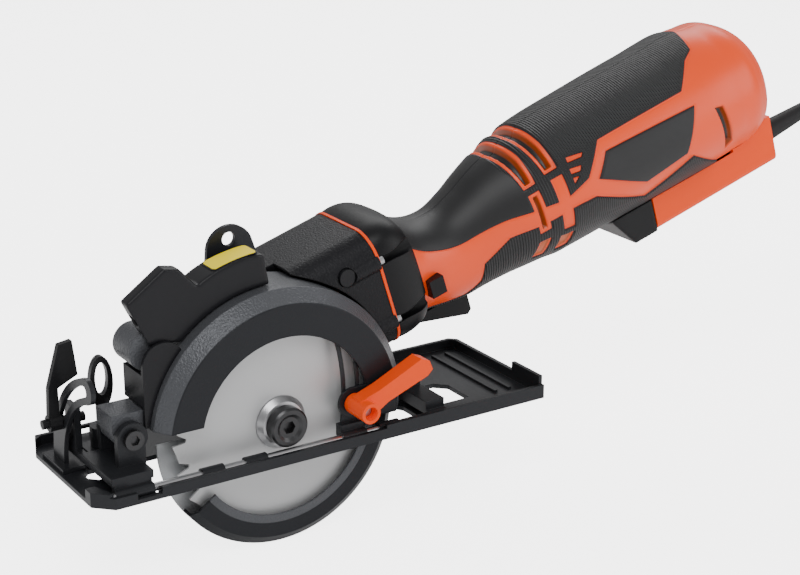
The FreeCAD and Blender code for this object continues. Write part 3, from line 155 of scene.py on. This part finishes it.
def material(name, colour, rough, metal=0.0, grain=0.0, depth=0.1, variation=0.06, edge=0.4):
    """A surface with rounded-edge shading, fine grain, broad tone changes and uneven gloss."""
    made = bpy.data.materials.new(name)
    made.use_nodes = True
    tree = made.node_tree
    shader = tree.nodes["Principled BSDF"]
    shader.inputs["Metallic"].default_value = metal
    shader.inputs["Specular IOR Level"].default_value = SPECULAR
    place = tree.nodes.new("ShaderNodeTexCoord")
    broad = tree.nodes.new("ShaderNodeTexNoise")
    broad.inputs["Scale"].default_value = TONE_SCALE
    broad.inputs["Detail"].default_value = 4.0
    link(tree, place, "Object", broad, "Vector")
    tone = tree.nodes.new("ShaderNodeMix")
    tone.data_type = "RGBA"
    low = [c * (1 - variation) for c in colour]
    high = [min(c * (1 + variation), 1.0) for c in colour]
    tone.inputs["A"].default_value = (*low, 1)
    tone.inputs["B"].default_value = (*high, 1)
    tree.links.new(broad.outputs["Fac"], tone.inputs["Factor"])
    tree.links.new(tone.outputs["Result"], shader.inputs["Base Color"])
    gloss = tree.nodes.new("ShaderNodeMapRange")
    gloss.inputs["To Min"].default_value = max(rough - 0.06, 0.03)
    gloss.inputs["To Max"].default_value = min(rough + 0.06, 1.0)
    link(tree, broad, "Fac", gloss, "Value")
    link(tree, gloss, "Result", shader, "Roughness")
    soft = tree.nodes.new("ShaderNodeBevel")
    soft.samples = 4
    soft.inputs["Radius"].default_value = edge * MM
    last = soft
    if grain > 0:
        fine = tree.nodes.new("ShaderNodeTexNoise")
        fine.inputs["Scale"].default_value = 1.0 / (grain * MM)
        fine.inputs["Detail"].default_value = 2.0
        link(tree, place, "Object", fine, "Vector")
        last = bump_node(tree, fine.outputs["Fac"], depth, last.outputs["Normal"])
    link(tree, last, "Normal", shader, "Normal")
    return made


ORANGE = (1.0, 0.072, 0.0)
BLACK = (0.006, 0.006, 0.007)
orange = material("orange_plastic", ORANGE, 0.36, grain=0.5, depth=0.02, variation=0.03)
black_plastic = material("black_plastic", BLACK, 0.42, grain=0.6, depth=0.04, variation=0.15)
satin_black = material("satin_black", (0.011, 0.011, 0.013), 0.30, grain=0.7, depth=0.02, variation=0.15)
wrinkle = material("wrinkle_paint", (0.011, 0.011, 0.013), 0.34, metal=0.25, grain=0.9, depth=0.28, edge=0.9)
grey_paint = material("grey_paint", (0.024, 0.025, 0.028), 0.30, metal=0.3, grain=0.9, depth=0.05, edge=0.5)
steel = material("steel", (0.42, 0.42, 0.43), 0.30, metal=1.0, grain=0.5, depth=0.02, edge=0.3)
dark_steel = material("dark_steel", (0.06, 0.06, 0.062), 0.30, metal=0.9, grain=0.6, depth=0.03, edge=0.3)
copper = material("copper", (0.62, 0.30, 0.14), 0.35, metal=1.0, grain=0.6, depth=0.1)
carbon = material("carbon", (0.03, 0.03, 0.03), 0.6, grain=0.4, depth=0.03)
brass = material("brass", (0.70, 0.50, 0.22), 0.28, metal=1.0, grain=0.4, depth=0.01)
rubber = material("rubber", (0.016, 0.016, 0.017), 0.55, grain=0.5, depth=0.03)
lens_glass = material("lens_glass", (0.35, 0.02, 0.02), 0.08, grain=0.0)


def blade_finish():
    """Pale lacquered blade with fine rings from grinding."""
    ring_pitch = 2 * math.pi / 9.0
    made = material("blade_lacquer", (0.52, 0.525, 0.53), 0.36, metal=0.35, variation=0.02, edge=0.15)
    tree = made.node_tree
    shader = tree.nodes["Principled BSDF"]
    place = tree.nodes.new("ShaderNodeTexCoord")
    shift = tree.nodes.new("ShaderNodeVectorMath")
    shift.operation = "SUBTRACT"
    shift.inputs[1].default_value = tuple(ARBOR * MM)
    link(tree, place, "Object", shift, 0)
    reach = tree.nodes.new("ShaderNodeVectorMath")
    reach.operation = "LENGTH"
    link(tree, shift, "Vector", reach, 0)
    rings = math_node(tree, "MULTIPLY", reach.outputs["Value"], 2 * math.pi / (ring_pitch * MM))
    wave = math_node(tree, "SINE", rings)
    link(tree, bump_node(tree, wave, 0.012), "Normal", shader, "Normal")
    return made


blade_lacquer = blade_finish()


def guard_finish(name, first, last, far_y=None):
    """Guard paint: dark, with a coarser ring between two radii painted paler, which on the upper guard's rim
    is painted reflection; beyond far_y it is light grey.
    """
    soft_edge = 0.4
    made = material(name, (0.017, 0.018, 0.021), 0.30, metal=0.25, grain=0.9, depth=0.08, edge=0.9)
    tree = made.node_tree
    shader = tree.nodes["Principled BSDF"]
    place = tree.nodes.new("ShaderNodeTexCoord")
    flat = tree.nodes.new("ShaderNodeVectorMath")
    flat.operation = "MULTIPLY_ADD"
    flat.inputs[1].default_value = (1, 0, 1)
    flat.inputs[2].default_value = (0, 0, -ARBOR.z * MM)
    link(tree, place, "Object", flat, 0)
    reach = tree.nodes.new("ShaderNodeVectorMath")
    reach.operation = "LENGTH"
    link(tree, flat, "Vector", reach, 0)

    def ramp(source, low, high):
        item = tree.nodes.new("ShaderNodeMapRange")
        item.inputs["From Min"].default_value = low * MM
        item.inputs["From Max"].default_value = high * MM
        tree.links.new(source, item.inputs["Value"])
        return item.outputs["Result"]
    band = math_node(tree, "MULTIPLY", ramp(reach.outputs["Value"], first, first + soft_edge),
                     ramp(reach.outputs["Value"], last, last - soft_edge))
    coarse = tree.nodes.new("ShaderNodeTexNoise")
    coarse.inputs["Scale"].default_value = 900
    link(tree, place, "Object", coarse, "Vector")
    height = math_node(tree, "MULTIPLY", coarse.outputs["Fac"], band)
    before = shader.inputs["Normal"].links[0].from_socket
    link(tree, bump_node(tree, height, 0.4, before), "Normal", shader, "Normal")

    def repaint(colour, share):
        tone = tree.nodes.new("ShaderNodeMix")
        tone.data_type = "RGBA"
        tree.links.new(shader.inputs["Base Color"].links[0].from_socket, tone.inputs["A"])
        tone.inputs["B"].default_value = (*colour, 1)
        tree.links.new(share, tone.inputs["Factor"])
        tree.links.new(tone.outputs["Result"], shader.inputs["Base Color"])
    # painted reflection: the ring's paler tone stands in for light reflected off the upper guard's wrinkle
    # rim, and the lower guard's inner band gets the same tone; the coarse bump is the real wrinkle finish
    repaint((0.085, 0.088, 0.096), band)
    if far_y is not None:
        split = tree.nodes.new("ShaderNodeSeparateXYZ")
        link(tree, place, "Object", split, "Vector")
        repaint((0.36, 0.37, 0.38), ramp(split.outputs["Y"], far_y - 0.1, far_y + 0.1))
    return made


CHAMFER_START, PAST_RIM = 64.6, 200
guard_casting = guard_finish("guard_casting", CHAMFER_START, PAST_RIM)
swing_guard = guard_finish("swing_guard", 20, 53.5, far_y=ARBOR.y + 5.7)
label_yellow = material("label_yellow", (1.0, 0.78, 0.0), 0.45, variation=0.01, edge=0.05)

FINISHES = (
    (guard_casting, "upper_guard"),
    (swing_guard, "lower_guard"),
    (satin_black, "dust_chute laser_housing spindle_lock_button"),
    (dark_steel, "laser_module blade_bolt pivot_bolt guide_screw"),
    (lens_glass, "laser_lens"),
    (wrinkle, "gear_housing"),
    (black_plastic,
     "motor_collar box_foot switch_body cord_clamp plug_body cooling_fan bevel_lever "
     "trigger lock_off_button"),
    (orange, "cord_box depth_lever"),
    (copper, "field_stator armature commutator"),
    (steel,
     "motor_bearings spindle_bearings idler_bearings gear_case_screws housing_screws "
     "guard_screws guard_retainer guard_spring depth_clamp_bolt spindle output_gear "
     "inner_flange outer_flange idler_shaft bevel_gear motor_pinion bevel_rod"),
    (brass, "brush_holders plug_pins"),
    (carbon, "carbon_brushes"),
    (rubber, "strain_relief"),
    (blade_lacquer, "saw_blade"),
    (grey_paint,
     "guard_lever front_bracket depth_quadrant rear_bracket base_plate "
     "bevel_quadrant"),
)
for finish, names in FINISHES:
    for name in names.split():
        piece = NODES[name]
        piece.data.materials.clear()
        piece.data.materials.append(finish)
cord.data.materials.append(rubber)

# ------------------------------------------------------------------ barrel skin
HANDLE = np.array((
    # along, top and bottom distance from the motor axis, half width, squareness
    (105, 29.5, 31.0, 27.5, 2.6), (112, 23.5, 33.0, 25.5, 2.5), (122, 18.2, 35.5, 24.5, 2.5),
    (134, 16.8, 38.0, 24.0, 2.4), (149, 21.0, 38.2, 25.5, 2.3), (163, 27.0, 38.6, 29.0, 2.2),
    (178, 32.0, 39.6, 34.0, 2.1), (192, 35.4, 40.4, 37.0, 2.1), (206, 37.8, 41.0, 38.8, 2.0),
    (240, 39.6, 41.2, 40.0, 2.0), (285, 41.0, 41.4, 41.0, 2.0), (326, 41.2, 41.4, 41.0, 2.0),
    (342, 37.4, 39.5, 38.2, 2.1), (353, 27.0, 33.0, 29.5, 2.2), (358, 17.0, 26.0, 20.0, 2.2)))
MEAN_RADIUS = 38.0
AROUND = MEAN_RADIUS * math.pi / 180
RIB_PITCH = 1.5


def smooth_at(s, column):
    """A smooth curve through one column of the handle's stations."""
    x, y = HANDLE[:, 0], HANDLE[:, column]
    slope = np.gradient(y, x)
    i = np.clip(np.searchsorted(x, s) - 1, 0, len(x) - 2)
    width = x[i + 1] - x[i]
    t = np.clip((s - x[i]) / width, 0, 1)
    return ((2 * t**3 - 3 * t**2 + 1) * y[i] + (t**3 - 2 * t**2 + t) * width * slope[i]
            + (-2 * t**3 + 3 * t**2) * y[i + 1] + (t**3 - t**2) * width * slope[i + 1])


def inside_distance(s, v, corners):
    """Signed distance in mm to an outline of (along, degrees) corners, positive inside."""
    u = s
    w = v * AROUND
    near = np.full(u.shape, 1e9)
    inside = np.zeros(u.shape, bool)
    for (a, b), (c, d) in zip(corners, corners[1:] + corners[:1]):
        b, d = b * AROUND, d * AROUND
        length = (c - a) ** 2 + (d - b) ** 2
        t = np.clip(((u - a) * (c - a) + (w - b) * (d - b)) / length, 0, 1)
        near = np.minimum(near, np.hypot(u - a - t * (c - a), w - b - t * (d - b)))
        if d != b:
            crossing = (w < b) != (w < d)
            inside ^= crossing & (u < (c - a) * (w - b) / (d - b) + a)
    return np.where(inside, near, -near)


NECK_PANEL = [(104, 27), (122, 24.5), (152, 17), (178, 9), (200, 4), (200, -4.5), (182, -6), (163, -2.5),
              (146, -12.5), (143, -36), (134, -50), (104, -58)]
CAP = [(199, 5.5), (214, 12), (229, 35.5), (290, 35.5), (304, 56), (312, 62), (318, 90), (362, 90),
       (362, -92), (322, -92), (310, -50), (286, -20), (252, -37), (216, -6), (199, -4.5)]
BADGE = [(220, 7), (230, 24.5), (293, 21), (281, -14), (251, -19.5)]
TOP_VENTS = [[(174, 98), (177, 101), (185, 100), (186, 60), (185, 31), (178, 31)],
             [(189, 99), (192, 102), (199, 101), (200, 60), (199.5, 33), (191.5, 33)]]
SIDE_VENT = [(178.5, 24), (185, 24), (186, -12.5), (179.3, -13.5)]
CROSS_BAR = [(193, 26), (200.3, 26), (200.3, -22), (193.5, -20)]
WINDOWS = [[(178.8, -23), (185.5, -23), (182, -44), (175, -42)],
           [(191.5, -26), (200, -28), (197, -45), (189, -45)]]
STRIPES = [[(206.5, 32), (207, 36), (217, 33), (215.2, 30.5)],
           [(205.5, 22.3), (205.8, 26.5), (212.8, 24.5), (211, 21)],
           [(205.3, 14), (205.5, 18.6), (209, 17.6)]]
CAP_SLOT = [(305, 11), (311, 9), (317, -30), (312, -36)]
SMOOTH_FRONT = [(100, 92), (173, 92), (173.5, 60), (180, 28), (178, 10), (152, 17.5), (122, 25), (100, 28)]


def build_barrel():
    """One skin over both housing halves and their overmoulds, detailed on both sides."""
    along = np.concatenate([np.arange(105.2, 326, 0.55), np.arange(326, 357.8, 0.5)])
    around = np.linspace(-90, 270, 560, endpoint=False)
    s, angle = np.meshgrid(along, around, indexing="ij")
    v = np.where(angle > 90, 180 - angle, angle)
    top, bottom = smooth_at(s, 1), smooth_at(s, 2)
    half, power = smooth_at(s, 3), smooth_at(s, 4)
    orange_field = np.maximum(inside_distance(s, v, NECK_PANEL), inside_distance(s, v, CAP))
    badge = inside_distance(s, v, BADGE)
    frames = np.full(s.shape, -1e9)
    for shape in TOP_VENTS + [SIDE_VENT, CROSS_BAR] + WINDOWS + STRIPES:
        frames = np.maximum(frames, inside_distance(s, v, shape))
    holes = np.full(s.shape, -1e9)
    for shape in TOP_VENTS + [SIDE_VENT]:
        holes = np.maximum(holes, inside_distance(s, v, shape) - 1.7)
    holes = np.maximum(holes, inside_distance(s, v, CAP_SLOT))
    windows = np.full(s.shape, -1e9)
    for shape in WINDOWS:
        windows = np.maximum(windows, inside_distance(s, v, shape) - 0.7)
    plain = inside_distance(s, v, SMOOTH_FRONT)
    colour = np.maximum(orange_field, frames)
    colour = np.minimum(colour, -badge)
    step = np.clip(-colour * 1.6 + 0.5, 0, 1)
    cover = np.clip((s - 186) / 8, 0, 1) * np.clip((327 - s) / 4, 0, 1)
    inset = 1.5 - step * (0.55 + 0.75 * cover)
    edge = np.exp(-(colour / 0.55) ** 2)
    inset = inset + edge * 0.45
    inset = inset + np.clip(holes * 2.2, 0, 3.4)
    inset = inset + np.clip(windows * 2, 0, 0.9)
    seam = np.minimum(np.abs(v - 90), np.abs(v + 90)) * AROUND
    inset = inset + 0.35 * np.exp(-(seam / 0.35) ** 2)
    a = np.radians(angle)
    c, q = np.cos(a), np.sin(a)
    mid, tall, wide = (top - bottom) / 2, (top + bottom) / 2 - inset, half - inset
    across = -np.sign(c) * np.abs(c) ** (2 / power) * wide
    over = np.sign(q) * np.abs(q) ** (2 / power) * tall + mid
    base, axis, rise = np.array(MOTOR_BASE), np.array(AXIS), np.array(RISE)
    points = base + s[..., None] * axis + over[..., None] * rise
    points[..., 1] += across
    rows, columns = s.shape
    points = points.reshape(-1, 3) * MM
    index = np.arange(rows * columns).reshape(rows, columns)
    after = np.roll(index, -1, axis=1)
    quads = np.stack([index[:-1], after[:-1], after[1:], index[1:]], axis=-1).reshape(-1, 4)
    faces = [tuple(int(k) for k in face) for face in quads]
    faces.append(tuple(int(k) for k in index[0]))
    faces.append(tuple(int(k) for k in index[-1][::-1]))
    mesh = bpy.data.meshes.new("barrel_skin")
    mesh.from_pydata([tuple(p) for p in points.tolist()], [], faces)
    plain = np.maximum(plain, badge)
    for label, field in (("colour_edge", colour), ("hole_edge", holes), ("plain_edge", plain),
                         ("window_edge", windows), ("along", s)):
        layer = mesh.attributes.new(label, "FLOAT", "POINT")
        layer.data.foreach_set("value", field.reshape(-1).astype(np.float32))
    mesh.shade_smooth()
    skin = bpy.data.objects.new("barrel_skin", mesh)
    bpy.context.scene.collection.objects.link(skin)
    return skin


def barrel_finish():
    """Orange plastic and black overmould, split at the moulded edge; the black is finely ribbed; vent holes
    and windows get painted shade.
    """
    made = bpy.data.materials.new("barrel_finish")
    made.use_nodes = True
    tree = made.node_tree
    shader = tree.nodes["Principled BSDF"]

    def read(name):
        item = tree.nodes.new("ShaderNodeAttribute")
        item.attribute_name = name
        return item

    def step(name, threshold, soft=0.12):
        item = tree.nodes.new("ShaderNodeMapRange")
        item.inputs["From Min"].default_value = threshold - soft
        item.inputs["From Max"].default_value = threshold + soft
        link(tree, read(name), "Fac", item, "Value")
        return item

    def mix(a, b, share):
        item = tree.nodes.new("ShaderNodeMix")
        item.data_type = "RGBA"
        for side, value in (("A", a), ("B", b)):
            if isinstance(value, tuple):
                item.inputs[side].default_value = (*value, 1)
            else:
                tree.links.new(value.outputs["Result"], item.inputs[side])
        tree.links.new(share.outputs["Result"], item.inputs["Factor"])
        return item

    is_orange = step("colour_edge", 0.0)
    # painted shade: the vent holes' walls are painted a darker orange and their depths near black, standing
    # in for the shade inside the recesses
    vent_wall_shade = step("hole_edge", 0.25, 0.3)
    base = mix(BLACK, ORANGE, is_orange)
    base = mix(base, (0.30, 0.05, 0.004), vent_wall_shade)
    # painted shade: the recessed windows are painted a darker orange for the shade that falls in them
    base = mix(base, (0.55, 0.09, 0.01), step("window_edge", 0.1))
    vent_depth_shade = step("hole_edge", 1.5, 0.3)
    base = mix(base, (0.006, 0.005, 0.005), vent_depth_shade)
    tree.links.new(base.outputs["Result"], shader.inputs["Base Color"])
    gloss = tree.nodes.new("ShaderNodeMapRange")
    gloss.inputs["To Min"].default_value = 0.50
    gloss.inputs["To Max"].default_value = 0.34
    link(tree, is_orange, "Result", gloss, "Value")
    link(tree, gloss, "Result", shader, "Roughness")
    turns = math_node(tree, "MULTIPLY", read("along").outputs["Fac"], 2 * math.pi / RIB_PITCH)
    wave = math_node(tree, "SINE", turns)
    flat = math_node(tree, "MAXIMUM", is_orange.outputs["Result"], step("plain_edge", 0.0).outputs["Result"])
    ribbed = math_node(tree, "SUBTRACT", 1.0, flat)
    ribs = bump_node(tree, math_node(tree, "MULTIPLY", wave, ribbed), 0.16)
    place = tree.nodes.new("ShaderNodeTexCoord")
    grain = tree.nodes.new("ShaderNodeTexNoise")
    grain.inputs["Scale"].default_value = 1600
    link(tree, place, "Object", grain, "Vector")
    fine = bump_node(tree, grain.outputs["Fac"], 0.025, ribs.outputs["Normal"])
    link(tree, fine, "Normal", shader, "Normal")
    return made


barrel = build_barrel()
barrel.data.materials.append(barrel_finish())
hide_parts("housing_left", "housing_right", "grip_left", "grip_right")
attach(barrel, "saw_body")

# ------------------------------------------------------------------ small detail pieces
def add_mesh(name, points, faces, finish, body):
    """A piece of the saw from points in mm in the row frame; an empty slot is not declared."""
    mesh = bpy.data.meshes.new(name)
    mesh.from_pydata([tuple(Vector(p) * MM) for p in points], [], faces)
    made = bpy.data.objects.new(name, mesh)
    bpy.context.scene.collection.objects.link(made)
    mesh.materials.append(finish)
    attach(made, body)
    return made


def curved_plate(name, radius, thick, first, last, near, far, corner, finish):
    """A thin plate bent round the arbor, with rounded corners, between two angles and two depths."""
    across, up = 30, 16
    points, faces = [], []
    arc = math.radians(last - first) * radius
    for layer in (radius, radius + thick):
        for i in range(across + 1):
            for j in range(up + 1):
                u, v = i / across * arc, j / up * (far - near)
                pull_u = max(corner - min(u, arc - u), 0)
                side = corner - math.sqrt(max(corner**2 - pull_u**2, 0))
                v = min(max(v, side), far - near - side)
                angle = math.radians(first) + u / radius
                points.append((layer * math.cos(angle), near + v, ARBOR.z + layer * math.sin(angle)))
    row = up + 1
    size = (across + 1) * row
    for i in range(across):
        for j in range(up):
            a = i * row + j
            faces.append((a, a + row, a + row + 1, a + 1))
            faces.append((size + a, size + a + 1, size + a + row + 1, size + a + row))
    for i in range(across):
        a, b = i * row, i * row + up
        faces.append((a, size + a, size + a + row, a + row))
        faces.append((b, b + row, size + b + row, size + b))
    for j in range(up):
        a, b = j, across * row + j
        faces.append((a, a + 1, size + a + 1, size + a))
        faces.append((b, size + b, size + b + 1, b + 1))
    return add_mesh(name, points, faces, finish, "saw_body")


LABEL_RADIUS, LABEL_THICK = 88.9, 0.25
curved_plate("blank_label_edge", LABEL_RADIUS, LABEL_THICK, 93.6, 110.4, -30.6, -16.4, 2.2,
             black_plastic)
curved_plate("blank_label", LABEL_RADIUS + 0.2, LABEL_THICK, 94.2, 109.8, -30.0, -17.0, 1.8, label_yellow)


def case_ring():
    """Thin orange gasket that shows between gear case and collar."""
    points, faces = [], []
    low, high, half, corner, steps = -31.5, 36.5, 31.5, 15.5, 8
    loop = []
    for cy, cz, begin in ((half - corner, high - corner, 0), (-half + corner, high - corner, 90),
                          (-half + corner, low + corner, 180), (half - corner, low + corner, 270)):
        for k in range(steps + 1):
            angle = math.radians(begin + 90 * k / steps)
            loop.append((cy + corner * math.cos(angle), cz + corner * math.sin(angle)))
    for s, shrink in ((81.0, 0.96), (81.0, 1.0), (82.6, 1.0), (82.6, 0.96)):
        for y, z in loop:
            points.append(on_barrel(s, y * shrink, (z - 2.5) * shrink + 2.5))
    count = len(loop)
    for band in range(4):
        after = (band + 1) % 4
        for k in range(count):
            n = (k + 1) % count
            faces.append((band * count + k, band * count + n, after * count + n, after * count + k))
    return add_mesh("case_gasket", points, faces, orange, "saw_body")


case_ring()


def soften(name, width, angle=40):
    """Rounds the hard edges of a CAD piece."""
    bevel = NODES[name].modifiers.new("rounded", "BEVEL")
    bevel.width = width * MM
    bevel.segments = 3
    bevel.limit_method = "ANGLE"
    bevel.angle_limit = math.radians(angle)


for name, width in (("depth_lever", 1.0), ("bevel_lever", 0.9), ("cord_box", 1.6),
                    ("trigger", 1.0), ("front_bracket", 0.4), ("dust_chute", 0.7)):
    soften(name, width)


def melt(name, grid, rounds):
    """Rounds a chunky moulding all over by an even mesh and smoothing."""
    remesh = NODES[name].modifiers.new("even mesh", "REMESH")
    remesh.mode = "VOXEL"
    remesh.voxel_size = grid * MM
    remesh.use_smooth_shade = True
    smooth = NODES[name].modifiers.new("rounded", "SMOOTH")
    smooth.factor = 0.5
    smooth.iterations = rounds


melt("laser_housing", 0.6, 24)
melt("box_foot", 0.8, 10)

# ------------------------------------------------------------------ floor, light and background
floor_mesh = bpy.data.meshes.new("floor")
span = 12.0
floor_corners = [(-span, -span, 0), (span, -span, 0), (span, span, 0), (-span, span, 0)]
floor_mesh.from_pydata(floor_corners, [], [(0, 1, 2, 3)])
floor = bpy.data.objects.new("floor", floor_mesh)
floor.location = (0.2, 0, (FLOOR_Z - 0.1) * MM)
bpy.context.scene.collection.objects.link(floor)
floor_finish = material("pale_floor", (0.93, 0.93, 0.93), 0.5, variation=0.002, edge=0.0)
floor_shader = floor_finish.node_tree.nodes["Principled BSDF"]
floor_shader.inputs["Emission Color"].default_value = (1, 1, 1, 1)
# the floor reads as white paper to the camera and throws only a little light up at the saw
floor_tree = floor_finish.node_tree
ray = floor_tree.nodes.new("ShaderNodeLightPath")
glow = floor_tree.nodes.new("ShaderNodeMapRange")
glow.inputs["To Min"].default_value = 0.25
glow.inputs["To Max"].default_value = 4.0
link(floor_tree, ray, "Is Camera Ray", glow, "Value")
link(floor_tree, glow, "Result", floor_shader, "Emission Strength")
floor.data.materials.append(floor_finish)


def area_light(name, spot, aim, size, power):
    """A rectangular lamp at one point, turned to another."""
    data = bpy.data.lights.new(name, "AREA")
    data.shape = "RECTANGLE"
    data.size, data.size_y = size
    data.energy = power
    item = bpy.data.objects.new(name, data)
    item.location = spot
    item.rotation_euler = (Vector(aim) - Vector(spot)).to_track_quat("-Z", "Y").to_euler()
    bpy.context.scene.collection.objects.link(item)


area_light("key_light", (-0.5, -0.9, 1.4), (0.1, 0, 0.05), (1.2, 0.8), 15)
area_light("rear_light", (0.9, 0.9, 1.2), (0.1, 0, 0.1), (1.4, 0.7), 11)
area_light("side_light", (1.1, -1.1, 0.5), (0.1, 0, 0.05), (0.8, 0.9), 6)
world = bpy.data.worlds.new("studio")
bpy.context.scene.world = world
world.use_nodes = True
world.node_tree.nodes["Background"].inputs["Color"].default_value = (1, 1, 1, 1)
world.node_tree.nodes["Background"].inputs["Strength"].default_value = 0.5
